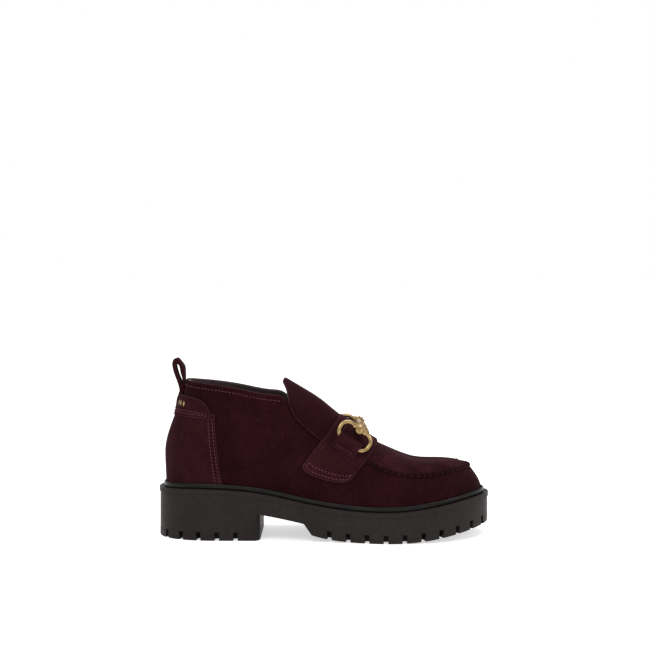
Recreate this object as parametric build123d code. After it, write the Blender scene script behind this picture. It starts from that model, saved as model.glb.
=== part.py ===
"""A right-foot ankle loafer on a chunky lug sole, with a saddle strap and a snaffle bit, in millimetres.

Toe towards +X, outer (lateral) side towards -Y, +Z up. The origin is on the ground under the
middle of the outsole. Every leather or textile panel lies on one last surface, described by ribs
that rise from the sole edge, and differs only in its outline and in its place in the stack.
"""

from build123d import *

import os

import numpy as np

# ---------------------------------------------------------------- driving dimensions
FEATHER_INSET = 6.0  # from the outsole's edge in to the foot of the upper
HEEL_INSET = 7.3
WELT_HEIGHT = 4.2
WELT_OUT, WELT_IN = 3.9, 5.2  # insets of the welt's two faces
HEEL_BREAST_X = -54.0
LUG_HEIGHT = 7.0
LUG_GAP = 3.9
LUG_PITCH = 15.8
RIM_HEIGHT = 3.6
RIM_LIP = 0.7
BOARD_INSET = 11.4
BOARD_THICKNESS = 2.0
SOCK_THICKNESS = 3.0

# Layers of the upper as distances from its outer face, outward positive.
SUEDE = (-1.3, 0.0)
MIDDLE = (-2.4, -1.45)
LINING = (-3.5, -2.6)
ELASTIC = (-2.15, -1.5)
FOOT = 0.012  # the panels start this share of the wall's height above the sole
PATCH = (0.15, 1.35)
TONGUE_BACK = (0.2, 0.85)
TONGUE_FACE = (0.97, 2.3)
STRAP_INNER = 0.2
STRAP_OUTER_REAR, STRAP_OUTER_FRONT = 3.2, 2.5
KEEPER_THICKNESS = 1.1
KEEPER_REACH = 43.0
SKEW = 0.788  # sections of the straps lean back this much per millimetre of fall

WIRE_RADIUS = 1.85
RING_LENGTH = 29.4
BAR_RADIUS = 1.7
BAR_TOP = 98.3
BELLS = {-1: (30.2, -28.0, 92.9), 1: (30.2, 27.6, 92.3)}  # lateral and medial
LOOP_WIDTH = 13.0
LOOP_PIVOT = (-123.3, 0.0, 123.7)

# Ribs of the last, from the heel's back round the lateral side, the toe and the medial side:
# outsole edge x and y, how far the rib's top leans in, the height of its top, and its bulge.
RIBS = [
    (-143.2, 0.0, 16.7, 135.0, 1.3),
    (-138.2, -17.0, 14.7, 134.8, 1.3),
    (-124.0, -29.5, 9.5, 134.0, 1.4),
    (-105.0, -35.0, 4.5, 132.4, 2.0),
    (-75.0, -36.0, 3.2, 128.4, 2.8),
    (-46.0, -37.0, 4.6, 123.2, 2.8),
    (-34.0, -38.0, 6.0, 119.5, 2.6),
    (-20.0, -39.3, 8.0, 101.0, 2.5),
    (-5.0, -41.0, 9.5, 92.0, 2.4),
    (28.0, -45.6, 9.2, 69.5, 1.6),
    (58.0, -49.0, 8.6, 56.8, 0.8),
    (85.0, -47.0, 9.0, 54.2, 0.6),
    (110.0, -38.5, 9.6, 56.2, 0.5),
    (130.0, -23.5, 10.2, 57.8, 0.5),
    (141.5, -6.0, 11.2, 58.0, 0.5),
    (142.9, 8.0, 11.2, 58.0, 0.5),
    (137.0, 22.0, 10.4, 58.0, 0.5),
    (124.0, 35.5, 10.2, 57.2, 0.5),
    (106.0, 43.6, 9.8, 55.8, 0.5),
    (84.0, 48.0, 9.4, 54.4, 0.6),
    (58.0, 48.4, 8.8, 56.8, 0.8),
    (28.0, 43.0, 9.2, 69.5, 1.6),
    (-5.0, 37.0, 7.6, 92.0, 2.4),
    (-20.0, 34.8, 5.6, 101.0, 2.5),
    (-34.0, 33.6, 3.4, 119.5, 2.6),
    (-46.0, 33.2, 2.4, 123.2, 2.8),
    (-75.0, 33.6, 2.0, 128.4, 2.8),
    (-105.0, 34.2, 4.0, 132.4, 2.0),
    (-124.0, 29.4, 9.5, 134.0, 1.4),
    (-138.2, 17.0, 14.7, 134.8, 1.3),
]

# Side profiles, as (x, z).
SOLE_TOP = [(-144, 41.0), (-115, 42.8), (-90, 42.6), (-60, 40.2), (-44, 37.6), (-21, 32.8), (5, 28.3),
            (28, 25.9), (48, 25.3), (70, 26.4), (88, 28.6), (108, 31.8), (126, 34.4), (144, 36.1)]
TREAD = [(-10.5, 5.6), (5.0, 2.2), (25.0, 0.5), (48.0, 0.0), (70.0, 0.7), (86.0, 2.1), (100.0, 4.0),
         (115.0, 6.6), (130.0, 9.3), (144.0, 11.6)]
RIDGE = [(-45, 138.5), (-32, 131.2), (-19, 123.4), (-2, 112.2), (11, 101.9), (23, 93.8), (38, 83.2),
         (48, 77.6), (56, 73.8), (66, 69.0), (80, 64.5), (95, 63.6), (112, 64.0), (126, 63.6)]
POLE_X = 98.0  # ribs in front of this run to one point of the ridge
ARCH_POWER, PLUG_POWER = 2.4, 4.6


def cubic(at, values, period=None):
    """A cubic spline through values at rising positions: natural ends, or periodic."""
    at, values = np.asarray(at, float), np.asarray(values, float)
    if period:
        at, values = np.append(at, at[0] + period), np.concatenate([values, values[:1]])
    step = np.diff(at)
    slope = (np.diff(values, axis=0).T / step).T
    count = len(at)
    matrix, right = np.zeros((count, count)), np.zeros_like(values)
    for i in range(1, count - 1):
        matrix[i, i - 1:i + 2] = step[i - 1], 2 * (step[i - 1] + step[i]), step[i]
        right[i] = 6 * (slope[i] - slope[i - 1])
    if period:
        matrix[0, [0, 1, -2]] = 2 * (step[0] + step[-1]), step[0], step[-1]
        right[0] = 6 * (slope[0] - slope[-1])
        matrix[-1, [0, -1]] = 1, -1
    else:
        matrix[0, 0] = matrix[-1, -1] = 1
    bend = np.linalg.solve(matrix, right)

    def curve(t):
        t = np.asarray(t, float)
        t = at[0] + (t - at[0]) % period if period else t
        i = np.clip(np.searchsorted(at, t, side="right") - 1, 0, count - 2)
        h, a = step[i], t - at[i]
        b = h - a
        wide = (...,) + (None,) * (values.ndim - 1)
        return (bend[i] * (b**3 / (6 * h))[wide] + bend[i + 1] * (a**3 / (6 * h))[wide]
                + (values[i] / h[wide] - bend[i] * h[wide] / 6) * b[wide]
                + (values[i + 1] / h[wide] - bend[i + 1] * h[wide] / 6) * a[wide])

    return curve


def eased(x, low, high):
    t = np.clip((np.asarray(x, float) - low) / (high - low), 0, 1)
    return t * t * (3 - 2 * t)


ribs = np.array(RIBS)
chords = np.linalg.norm(np.diff(ribs[:, :2], axis=0, append=ribs[:1, :2]), axis=1)
stations = np.concatenate([[0], np.cumsum(chords)[:-1]]) / chords.sum()
sole_edge = cubic(stations, ribs[:, :2], 1.0)
rib_shape = cubic(stations, ribs[:, 2:], 1.0)
sole_top = cubic(*zip(*SOLE_TOP))
tread = cubic(*zip(*TREAD))
ridge = cubic(*zip(*RIDGE))


def inward(u):
    """The unit normal of the outsole's edge, pointing into the shoe."""
    along = sole_edge(u + 1e-4) - sole_edge(u - 1e-4)
    along /= np.linalg.norm(along, axis=-1, keepdims=True)
    return np.stack([-along[..., 1], along[..., 0]], axis=-1)


def feather_inset(x):
    return HEEL_INSET + (FEATHER_INSET - HEEL_INSET) * eased(x, -88, -64)


def arch_power(x):
    return ARCH_POWER + (PLUG_POWER - ARCH_POWER) * eased(x, 35, 85)


def rib_top(u):
    """Where the wall of the upper ends: the collar, and in front the seam to the plug."""
    lean, height, _ = np.moveaxis(rib_shape(u), -1, 0)
    edge = sole_edge(u)
    plan = edge + inward(u) * (feather_inset(edge[..., 0]) + lean)[..., None]
    return np.concatenate([plan, height[..., None]], axis=-1)


def wall(u, v):
    """The outer face of the wall: v is 0 at the sole and 1 at the rib's top."""
    u, v = np.broadcast_arrays(np.asarray(u, float), np.asarray(v, float))
    lean, height, bulge = np.moveaxis(rib_shape(u), -1, 0)
    edge = sole_edge(u)
    foot = edge + inward(u) * feather_inset(edge[..., 0])[..., None]
    low = sole_top(foot[..., 0])
    top = rib_top(u)
    crown = ridge(np.minimum(top[..., 0], POLE_X))
    reach = np.where(top[..., 0] < POLE_X, np.abs(top[..., 1]), np.hypot(top[..., 0] - POLE_X, top[..., 1]))
    steep = arch_power(top[..., 0]) * (crown - height) / reach
    power = np.clip(((height - low) / np.maximum(steep, 0.1) - bulge * np.pi) / lean, 1.8, 3.0)
    power = 2.0 + (power - 2.0) * eased(top[..., 0], -45, -25)
    heel = 1 - eased(edge[..., 0], -128, -96)
    rise = (1 - heel) * np.abs(v) ** power + heel * eased(v, 0.3, 1.0)
    inset = lean * rise - bulge * np.sin(np.pi * v)
    plan = foot + inward(u) * inset[..., None]
    return np.concatenate([plan, (low + v * (height - low))[..., None]], axis=-1)


# The plan of the rib tops, as a table from which the top surface takes its width.
fine_u = np.linspace(0, 1, 1441)
fine_top = rib_top(fine_u)
front = (fine_top[:, 0] > -45)
lateral_top = fine_top[front & (fine_u < 0.5)]
medial_top = fine_top[front & (fine_u >= 0.5)][::-1]


def top_height(x, y):
    """The outer face of the plug, the instep and the tongue, as a height over the plan."""
    x, y = np.broadcast_arrays(np.asarray(x, float), np.asarray(y, float))
    result = np.empty(x.shape)
    for side, line in ((y < 0, lateral_top), (y >= 0, medial_top)):
        behind = line[:, 0] <= POLE_X + 4
        xs, ys = line[behind, 0], np.abs(line[behind, 1])
        order = np.argsort(xs)
        width = np.interp(x, xs[order], ys[order])
        edge = np.interp(x, xs[order], line[behind, 2][order])
        far = np.arctan2(np.abs(line[:, 1]), line[:, 0] - POLE_X)
        reach = np.hypot(line[:, 0] - POLE_X, line[:, 1])
        turn = np.argsort(far)
        angle = np.arctan2(np.abs(y), x - POLE_X)
        polar = x > POLE_X
        share = np.where(polar, np.hypot(x - POLE_X, y) / np.interp(angle, far[turn], reach[turn]),
                         np.abs(y) / width)
        edge = np.where(polar, np.interp(angle, far[turn], line[:, 2][turn]), edge)
        crown = ridge(x)
        z = crown - (crown - edge) * share ** arch_power(x)
        result[side] = z[side]
    return result


def girth_line(x, side):
    """The upper's section at x as points from the ridge down to the sole; side is -1 lateral, 1 medial."""
    line = lateral_top if side < 0 else medial_top
    us = fine_u[front & (fine_u < 0.5)] if side < 0 else fine_u[front & (fine_u >= 0.5)][::-1]
    behind = line[:, 0] < POLE_X
    order = np.argsort(line[behind, 0])
    u = float(np.interp(x, line[behind, 0][order], us[behind][order]))
    top = rib_top(np.array(u))
    plan_y = top[1] * np.linspace(0, 1, 40)
    upper = np.stack([np.full(40, top[0]), plan_y, top_height(np.full(40, top[0]), plan_y)], axis=-1)
    upper[-1] = top
    return np.concatenate([upper, wall(u, np.linspace(1, 0, 60))[1:]])


def girth_row(x):
    """The section at x, resampled at every millimetre of girth from -GIRTH (lateral) to GIRTH."""
    halves = []
    for side in (-1, 1):
        line = girth_line(x, side)
        run = np.concatenate([[0], np.cumsum(np.linalg.norm(np.diff(line, axis=0), axis=1))])
        halves.append(np.stack([np.interp(np.arange(GIRTH + 1), run, line[:, k]) for k in range(3)], axis=-1))
    return np.concatenate([halves[0][:0:-1], halves[1]])


GIRTH = 84
GIRTH_X = np.arange(-44.0, 62.0, 1.0)
girth_table = np.array([girth_row(x) for x in GIRTH_X])


def girth(x, g):
    """The outer face at section x and distance g from the ridge, lateral negative."""
    x, g = np.broadcast_arrays(np.asarray(x, float), np.asarray(g, float))
    i = np.clip(x - GIRTH_X[0], 0, len(GIRTH_X) - 1.001)
    j = np.clip(g + GIRTH, 0, 2 * GIRTH - 0.001)
    i0, j0 = i.astype(int), j.astype(int)
    a, b = (i - i0)[..., None], (j - j0)[..., None]
    low = girth_table[i0, j0] * (1 - b) + girth_table[i0, j0 + 1] * b
    high = girth_table[i0 + 1, j0] * (1 - b) + girth_table[i0 + 1, j0 + 1] * b
    return low * (1 - a) + high * a


def band(x0, g, skew):
    """Like girth, but the section leans back by skew per millimetre of fall from the ridge at x0."""
    x0, g, skew = np.broadcast_arrays(*(np.asarray(a, float) for a in (x0, g, skew)))
    x = x0.copy()
    for _ in range(24):
        x = 0.45 * x + 0.55 * (x0 + skew * (girth(x, g)[..., 2] - ridge(x0)))
    return girth(x, g)


def plug_point(a, b):
    """The top surface from X = PLUG_REAR (a = 0) to the toe (a = 1), b from -1 lateral to 1."""
    x = PLUG_REAR + (PLUG_FRONT - PLUG_REAR) * np.sin(np.asarray(a, float) * np.pi / 2)
    b = np.asarray(b, float)
    widths = []
    for line in (lateral_top, medial_top):
        order = np.argsort(line[:, 0])
        widths.append(np.interp(x, line[order, 0], np.abs(line[order, 1] - TOE_Y)))
    y = TOE_Y + np.where(b < 0, b * widths[0], b * widths[1])
    return np.stack([x + 0 * y, y, top_height(x + 0 * y, y)], axis=-1)


toe = fine_top[np.argmax(fine_top[:, 0])]
TOE_Y = toe[1]
PLUG_REAR, PLUG_FRONT = 15.0, toe[0] - 0.25


# ---------------------------------------------------------------- solids from surfaces
def normals(shape, a, b):
    step = 2e-3
    p = shape(a, b)
    along = np.where((a < 0.5)[..., None], shape(a + step, b) - p, p - shape(a - step, b))
    across = np.where((b < 0.5)[..., None], shape(a, b + step) - p, p - shape(a, b - step))
    n = np.cross(along, across)
    n /= np.linalg.norm(n, axis=-1, keepdims=True)
    hub = np.stack([np.clip(p[..., 0], -100, 90), 0 * p[..., 1], np.full(p.shape[:-1], 45.0)], axis=-1)
    flip = np.sign(np.sum((p - hub) * n, axis=-1, keepdims=True))
    return n * flip


def sheet(shape, rows, columns, inner, outer):
    """A solid between two offsets of shape(a, b), which may be numbers or functions of (a, b).

    Each row is a spline; ruled faces run from row to row, so neighbouring faces share their edges.
    """
    a, b = np.meshgrid(rows, columns, indexing="ij")
    p, n = shape(a, b), normals(shape, a, b)
    skins = []
    for depth in (inner, outer):
        depth = depth(a, b) if callable(depth) else np.full(a.shape, depth)
        grid = p + n * depth[..., None]
        skins.append([Edge.make_spline([Vector(*q) for q in row]) for row in grid])
    low, high = skins
    heads = [Edge.make_line(i @ 0, o @ 0) for i, o in zip(low, high)]
    tails = [Edge.make_line(i @ 1, o @ 1) for i, o in zip(low, high)]
    faces = [Face.make_surface_from_curves(low[k], high[k]) for k in (0, -1)]
    for line in (low, high, heads, tails):
        faces += [Face.make_surface_from_curves(one, two) for one, two in zip(line, line[1:])]
    return Solid(Shell(faces))


def outline(inset):
    """The outsole's outline, moved in by inset (a number or a function of x), as a flat face."""
    u = np.linspace(0, 1, 73)[:-1]
    edge = sole_edge(u)
    depth = inset(edge[:, 0]) if callable(inset) else np.full(len(u), float(inset))
    plan = edge + inward(u) * depth[:, None]
    return Face(Wire([Edge.make_spline([Vector(x, y, 0) for x, y in plan], periodic=True)]))


def prism(face, low=-5.0, high=160.0):
    return extrude(face.moved(Location((0, 0, low))), amount=high - low, dir=(0, 0, 1))


def slab(low, high, start, end):
    """Everything between two side curves, each a function giving z at x."""
    xs = np.linspace(start, end, 41)
    top = [Vector(x, 0, float(high(x))) for x in xs]
    bottom = [Vector(x, 0, float(low(x))) for x in xs]
    wire = Wire([Edge.make_spline(bottom), Edge.make_line(bottom[-1], top[-1]),
                 Edge.make_spline(top), Edge.make_line(top[0], bottom[0])])
    return extrude(Face(wire), amount=70, dir=(0, 1, 0), both=True)


def keep(name, solid):
    solid.label = name
    export_step(solid, f"parts/{name}.step")
    print(name, round(solid.volume), solid.is_valid)


os.makedirs("parts", exist_ok=True)

# ---------------------------------------------------------------- the sole
tread_points = [Vector(x, 0, z) for x, z in TREAD]
top_points = [Vector(x, 0, z - RIM_HEIGHT / 2) for x, z in SOLE_TOP]
arch_points = [Vector(-52, 0, 21.6), Vector(-34, 0, 18.4), Vector(-17, 0, 14.8)]
side_wire = Wire([
    Edge.make_line((-144, 0, 21.6), arch_points[0]),
    Edge.make_spline(arch_points),
    Edge.make_line(arch_points[-1], tread_points[0]),
    Edge.make_spline(tread_points),
    Edge.make_line(tread_points[-1], top_points[-1]),
    Edge.make_spline(top_points),
    Edge.make_line(top_points[0], (-144, 0, 21.6)),
])
side_face = extrude(Face(side_wire), amount=70, dir=(0, 1, 0), both=True)
core_plan = prism(outline(RIM_LIP))
core = core_plan & side_face
heel = core_plan & extrude(Pos(HEEL_BREAST_X - 60, -1.5) * RectangleRounded(120, 71, 9), amount=23)
rim = prism(outline(0)) & slab(lambda x: sole_top(x) - RIM_HEIGHT, sole_top, -144, 144)
outsole = core + heel + rim

cuts = Sketch()
length = chords.sum()
for u in np.arange(LUG_PITCH / 2, length, LUG_PITCH) / length:
    x, y = sole_edge(u)
    nx, ny = inward(u)
    if x < -61 or x > 2:
        cuts += Pos(x + 4 * nx, y + 4 * ny) * Rot(0, 0, np.degrees(np.arctan2(ny, nx))) * Rectangle(11, LUG_GAP)
centre_cuts = Sketch()
for x in (-122, -106, -90, -74, 12, 28, 44, 60, 76, 92, 108):
    centre_cuts += Pos(x, 0) * Rectangle(LUG_GAP, 110)
centre_cuts &= outline(12.5)
below_heel = Pos(-101, 0, LUG_HEIGHT / 2 - 1) * Box(96, 140, LUG_HEIGHT + 2)
below_tread = slab(lambda x: tread(x) - 8, lambda x: tread(x) + LUG_HEIGHT, -9, 144)
for plan in (cuts, centre_cuts):
    tool = prism(plan, -4, 20)
    outsole -= tool & below_heel
    outsole -= tool & below_tread

shank_slot = slab(lambda x: sole_top(x) - 2.6, lambda x: sole_top(x) + 1, -96, 8) & (
    Pos(-44, 0, 40) * Box(104, 15, 60))
outsole -= shank_slot
filler_room = prism(outline(15)) & slab(lambda x: sole_top(x) - 3, lambda x: sole_top(x) + 1, 14, 120)
outsole -= filler_room
keep("outsole", outsole)

shank = slab(lambda x: sole_top(x) - 2.4, lambda x: sole_top(x) - 0.9, -94, 6) & Pos(-44, 0, 40) * Box(100, 13, 60)
keep("shank", shank)
filler = prism(outline(15.3)) & slab(lambda x: sole_top(x) - 2.8, lambda x: sole_top(x) - 0.1, 14.4, 119.6)
keep("bottom_filler", filler)

welt = (prism(outline(WELT_OUT)) - prism(outline(WELT_IN))) & slab(
    lambda x: sole_top(x) + 0.05, lambda x: sole_top(x) + WELT_HEIGHT, -143, 143)
keep("welt_rand", welt)
board = prism(outline(BOARD_INSET)) & slab(
    lambda x: sole_top(x) + 0.1, lambda x: sole_top(x) + 0.1 + BOARD_THICKNESS, -143, 143)
keep("insole_board", board)
sock_low = 0.3 + BOARD_THICKNESS
sock = prism(outline(BOARD_INSET)) & slab(
    lambda x: sole_top(x) + sock_low, lambda x: sole_top(x) + sock_low + SOCK_THICKNESS, -143, 143)
keep("sock", sock)

# ---------------------------------------------------------------- the upper
ring_rows = np.concatenate([[0.0015], np.linspace(0, 1, 97)[1:-1], [0.9985]])
wall_columns = np.linspace(FOOT, 0.985, 13)
keep("vamp_wall", sheet(wall, ring_rows, wall_columns, *SUEDE))

LATERAL_SPLIT, MEDIAL_SPLIT = stations[7], stations[23]
front_rows = np.linspace(LATERAL_SPLIT + 0.001, MEDIAL_SPLIT - 0.001, 57)
rear_rows = np.concatenate([np.linspace(MEDIAL_SPLIT + 0.001, 0.9985, 25),
                            1 + np.linspace(0.0015, LATERAL_SPLIT - 0.001, 25)])
keep("vamp_lining", sheet(wall, front_rows, np.linspace(FOOT, 0.94, 11), *LINING))
keep("quarter_lining", sheet(wall, rear_rows, np.linspace(FOOT, 0.985, 11), *LINING))
keep("toe_puff", sheet(wall, np.linspace(stations[11], stations[19], 29), np.linspace(0.04, 0.84, 7), *MIDDLE))
heel_rows = np.concatenate([np.linspace(stations[27], 0.9985, 13), 1 + np.linspace(0.0015, stations[3], 13)])
keep("heel_stiffener", sheet(wall, heel_rows, np.linspace(0.02, 0.6, 9), *MIDDLE))
collar_rows = np.concatenate([np.linspace(stations[25], 0.9985, 21), 1 + np.linspace(0.0015, stations[5], 21)])
keep("collar_padding", sheet(wall, collar_rows, np.linspace(0.8, 0.98, 4), *MIDDLE))

plug_rows = np.concatenate([np.linspace(0, 0.9, 22), np.linspace(0.9, 1.0, 7)[1:]])
keep("plug", sheet(plug_point, plug_rows, np.linspace(-0.985, 0.985, 31), *SUEDE))
keep("plug_lining", sheet(plug_point, np.linspace(0.02, 0.93, 20), np.linspace(-0.78, 0.78, 21), *LINING))


def patch(a, b):
    """The heel patch: a runs round the heel, b from the sole to the edge hidden under the tab."""
    front = np.where(a < 0.5, PATCH_MEDIAL, PATCH_LATERAL)
    forward = 0.011 * np.clip(1 - b, 0, 1) ** 1.5 * np.abs(2 * a - 1)
    u = 1 + (2 * a - 1) * np.abs(front) + np.where(a < 0.5, -forward, forward)
    return wall(u, FOOT + 0.69 * b)


PATCH_LATERAL = stations[3] + 0.0178
PATCH_MEDIAL = 1 - stations[27] + 0.0178
keep("counter_patch", sheet(patch, np.linspace(0, 1, 37), np.linspace(0, 1, 11), *PATCH))


def tab(a, b):
    """The heel tab: its top edge falls to a rounded corner on each side."""
    side = np.abs(2 * a - 1)
    reach = np.where(a < 0.5, 1 - stations[27], stations[3]) + 0.012
    u = 1 + (2 * a - 1) * reach
    low = 0.655 + 0.012 * side
    high = 0.85 - 0.02 * side**2 - 0.11 * side**16
    return wall(u, low + (high - low) * b)


def over_legs(base):
    """The tab stands off over the ends of the pull loop."""
    return lambda a, b: base + 2.3 * np.exp(-((a - 0.5) / 0.09) ** 4) * eased(b, 0.05, 0.75)


keep("heel_tab", sheet(tab, np.linspace(0, 1, 41), np.linspace(0, 1, 9), over_legs(1.5), over_legs(2.65)))


def leg(a, b):
    """The middle of the heel's back, where the ends of the pull loop lie."""
    y = LOOP_WIDTH / 2 - 0.4
    return wall(1 + (2 * a - 1) * y / length, 0.735 + 0.1 * b)


keep("loop_anchor", sheet(leg, np.linspace(0, 1, 9), np.linspace(0, 1, 7),
                          0.2, lambda a, b: 1.35 + 2.2 * eased(b, -0.1, 0.75)))

loop_outer = [(-125.4, 123.7), (-126.2, 127.8), (-128.5, 134.5), (-130.5, 140.2), (-131.6, 145.5), (-130.9, 150.2),
              (-128.6, 151.9), (-125.0, 149.2), (-121.9, 144.6), (-121.3, 140.6), (-121.2, 137.0),
              (-121.1, 131.0), (-121.2, 123.7)]
loop_hole = [(-123.4, 128.8), (-125.3, 133.6), (-127.1, 138.2), (-128.6, 143.4), (-128.5, 146.6), (-126.9, 146.4),
             (-125.0, 142.6), (-124.1, 138.0), (-122.9, 133.0)]
knuckle = (LOOP_PIVOT[0], 0, LOOP_PIVOT[2] - 2.1)
outer_wire = Wire([Edge.make_spline([Vector(x, 0, z) for x, z in loop_outer]),
                   Edge.make_three_point_arc(Vector(-121.2, 0, 123.7), Vector(*knuckle), Vector(-125.4, 0, 123.7))])
loop_face = Face(outer_wire)
hole_face = Face(Wire([Edge.make_spline([Vector(x, 0, z) for x, z in loop_hole], periodic=True)]))
loop = extrude(loop_face, amount=LOOP_WIDTH / 2, dir=(0, 1, 0), both=True)
loop -= extrude(hole_face, amount=LOOP_WIDTH, dir=(0, 1, 0), both=True)
keep("pull_loop", loop)


def tongue(a, b):
    """The tongue: a runs from the strap (0) to the free tip (1), b from -1 lateral to 1."""
    swell = 4.2 * np.clip(a, 0, 1.01) ** 3 * np.exp(-(((np.abs(b) - 0.42) / 0.3) ** 2))
    x0 = 12.3 - 44.0 * a - swell
    skew = SKEW * np.clip(1 - a, 0, 1) ** 0.8
    reach = 44.0 - 6.0 * a - 11.0 * np.abs(a) ** 9
    return band(x0, reach * b, skew)


tongue_rows = np.concatenate([np.linspace(0, 0.8, 17), np.linspace(0.8, 1, 7)[1:]])
keep("tongue", sheet(tongue, tongue_rows, np.linspace(-1, 1, 41), *TONGUE_FACE))
keep("tongue_backing", sheet(tongue, tongue_rows, np.linspace(-0.985, 0.985, 41), *TONGUE_BACK))


def gore(side):
    """The elastic under one wing of the tongue."""
    return lambda a, b: band(-25.0 + 24.0 * a, side * (30.0 + 17.0 * b), 0.25)


keep("gore_lateral", sheet(gore(-1), np.linspace(0, 1, 13), np.linspace(0, 1, 11), *ELASTIC))
keep("gore_medial", sheet(gore(1), np.linspace(0, 1, 13), np.linspace(0, 1, 11), *ELASTIC))


def saddle(a, b):
    """The wide strap: a across it from its rear edge, b from -1 lateral to 1; its ends are rounded."""
    x0 = 13.0 + 32.0 * a
    reach = 77.5 - 13.0 * np.abs(a) ** 1.9 - 4.0 * np.abs(1 - a) ** 12 - 4.0 * np.abs(a) ** 14
    return band(x0, reach * b, SKEW)


def strap_outer(a, b):
    return STRAP_OUTER_REAR + (STRAP_OUTER_FRONT - STRAP_OUTER_REAR) * a


saddle_rows = np.concatenate([np.linspace(0, 0.12, 6), np.linspace(0.12, 0.88, 14)[1:-1], np.linspace(0.88, 1, 6)])
keep("saddle_strap", sheet(saddle, saddle_rows, np.linspace(-1, 1, 61), STRAP_INNER, strap_outer))


def keeper(a, b):
    """The narrow strap over the rings."""
    return band(20.0 + 16.5 * a, KEEPER_REACH * b, SKEW)


def keeper_inner(a, b):
    base = STRAP_OUTER_REAR + (STRAP_OUTER_FRONT - STRAP_OUTER_REAR) * (7.0 + 16.5 * a) / 32.0 + 0.15
    g = np.abs(KEEPER_REACH * b)
    return base + (2 * WIRE_RADIUS + 2.3) * eased(g, 28.0, 32.0) * (1 - eased(g, 37.5, 41.5))


keep("keeper_strap", sheet(keeper, np.linspace(0, 1, 9), np.linspace(-1, 1, 81), keeper_inner,
                           lambda a, b: keeper_inner(a, b) + KEEPER_THICKNESS))

# ---------------------------------------------------------------- the bit
slope = Vector(1, 0, -SKEW).normalized()


def surface_at(x0, g, height):
    point = band(np.array(x0), np.array(g), np.array(SKEW))
    eps = 0.3
    along = band(np.array(x0 + eps), np.array(g), np.array(SKEW)) - point
    across = band(np.array(x0), np.array(g + eps), np.array(SKEW)) - point
    n = np.cross(along, across)
    n *= np.sign(n[2]) / np.linalg.norm(n)
    return Vector(*(point + n * height))


def ring(side):
    """A D-shaped wire ring: its straight stretch runs through the bell, its bow lies under the keeper."""
    centre = Vector(*BELLS[side])
    bow = surface_at(29.0, side * 34.6, STRAP_OUTER_FRONT + 1.4 + WIRE_RADIUS)
    down = bow - centre
    down -= slope * down.dot(slope)
    depth = down.length
    down = down.normalized()
    frame = Plane(origin=centre + down * (depth / 2), x_dir=slope, z_dir=slope.cross(down))
    path = (frame * RectangleRounded(RING_LENGTH, depth, 0.46 * depth)).wire()
    start = Plane(origin=path @ 0, z_dir=path % 0) * Circle(WIRE_RADIUS)
    return sweep(start, path=path)


rings = {side: ring(side) for side in (-1, 1)}
keep("ring_lateral", rings[-1])
keep("ring_medial", rings[1])


def bell(side):
    """A bell-shaped end with an eye along the slope and a beaded flange towards the bar."""
    out = Vector(0, side, -0.22)
    out -= slope * out.dot(slope)
    axis = Plane(origin=Vector(*BELLS[side]), x_dir=slope, z_dir=out)
    profile = make_face(Polyline((0, -6.4), (4.5, -6.4), (4.7, -5.9), (4.5, -4.9), (3.5, -4.4), (4.3, -3.0), (4.7, -0.6),
                                 (4.3, 2.0), (3.0, 3.9), (0, 4.8), (0, -6.4)))
    body = axis * revolve(Plane.XZ * profile, Axis.Z)
    hub = axis * (Rot(0, 90, 0) * Cylinder(2.9, 12.4))
    beads = [axis * Pos(4.7 * np.cos(t), 4.7 * np.sin(t), -5.6) * Sphere(1.1)
             for t in np.arange(12) * np.pi / 6]
    eye = axis * (Rot(0, 90, 0) * Cylinder(WIRE_RADIUS + 0.15, 20))
    return body + hub + beads - eye


bar_ends = [Vector(*BELLS[side]) + Vector(0, -4.5 * side, 1.0) for side in (-1, 1)]
bar_path = Edge.make_three_point_arc(bar_ends[0], Vector(BELLS[1][0], 0, BAR_TOP - BAR_RADIUS), bar_ends[1])
bar = sweep(Plane(origin=bar_ends[0], z_dir=bar_path % 0) * Circle(BAR_RADIUS), path=bar_path)
keep("bit_bar", bar + bell(-1) + bell(1))
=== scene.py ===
"""The loafer boot's looks: suede panels, seams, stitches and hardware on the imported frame."""

import math
import random

import bmesh
import bpy
import numpy as np
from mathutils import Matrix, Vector


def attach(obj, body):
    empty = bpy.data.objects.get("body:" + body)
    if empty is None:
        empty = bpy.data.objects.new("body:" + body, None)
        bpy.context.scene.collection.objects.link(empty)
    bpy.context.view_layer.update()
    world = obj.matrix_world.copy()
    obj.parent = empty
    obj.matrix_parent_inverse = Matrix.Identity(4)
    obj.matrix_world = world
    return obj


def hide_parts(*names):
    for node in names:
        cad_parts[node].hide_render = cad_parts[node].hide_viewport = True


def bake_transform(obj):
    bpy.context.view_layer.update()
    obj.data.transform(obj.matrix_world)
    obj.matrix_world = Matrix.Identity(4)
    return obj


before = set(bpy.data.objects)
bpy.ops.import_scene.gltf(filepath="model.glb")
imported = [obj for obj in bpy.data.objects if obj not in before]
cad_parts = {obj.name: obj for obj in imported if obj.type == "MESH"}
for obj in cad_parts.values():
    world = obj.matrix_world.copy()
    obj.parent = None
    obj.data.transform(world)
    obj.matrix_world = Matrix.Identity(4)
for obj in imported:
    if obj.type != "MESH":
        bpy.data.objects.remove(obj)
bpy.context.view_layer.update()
random.seed(7)

MM = 0.001
FEATHER_INSET = 6.0
HEEL_INSET = 7.3
SKEW = 0.788
WIRE_RADIUS = 1.85
STRAP_OUTER_REAR, STRAP_OUTER_FRONT = 3.2, 2.5
KEEPER_THICKNESS = 1.1
KEEPER_REACH = 43.0
FOOT = 0.012

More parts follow.
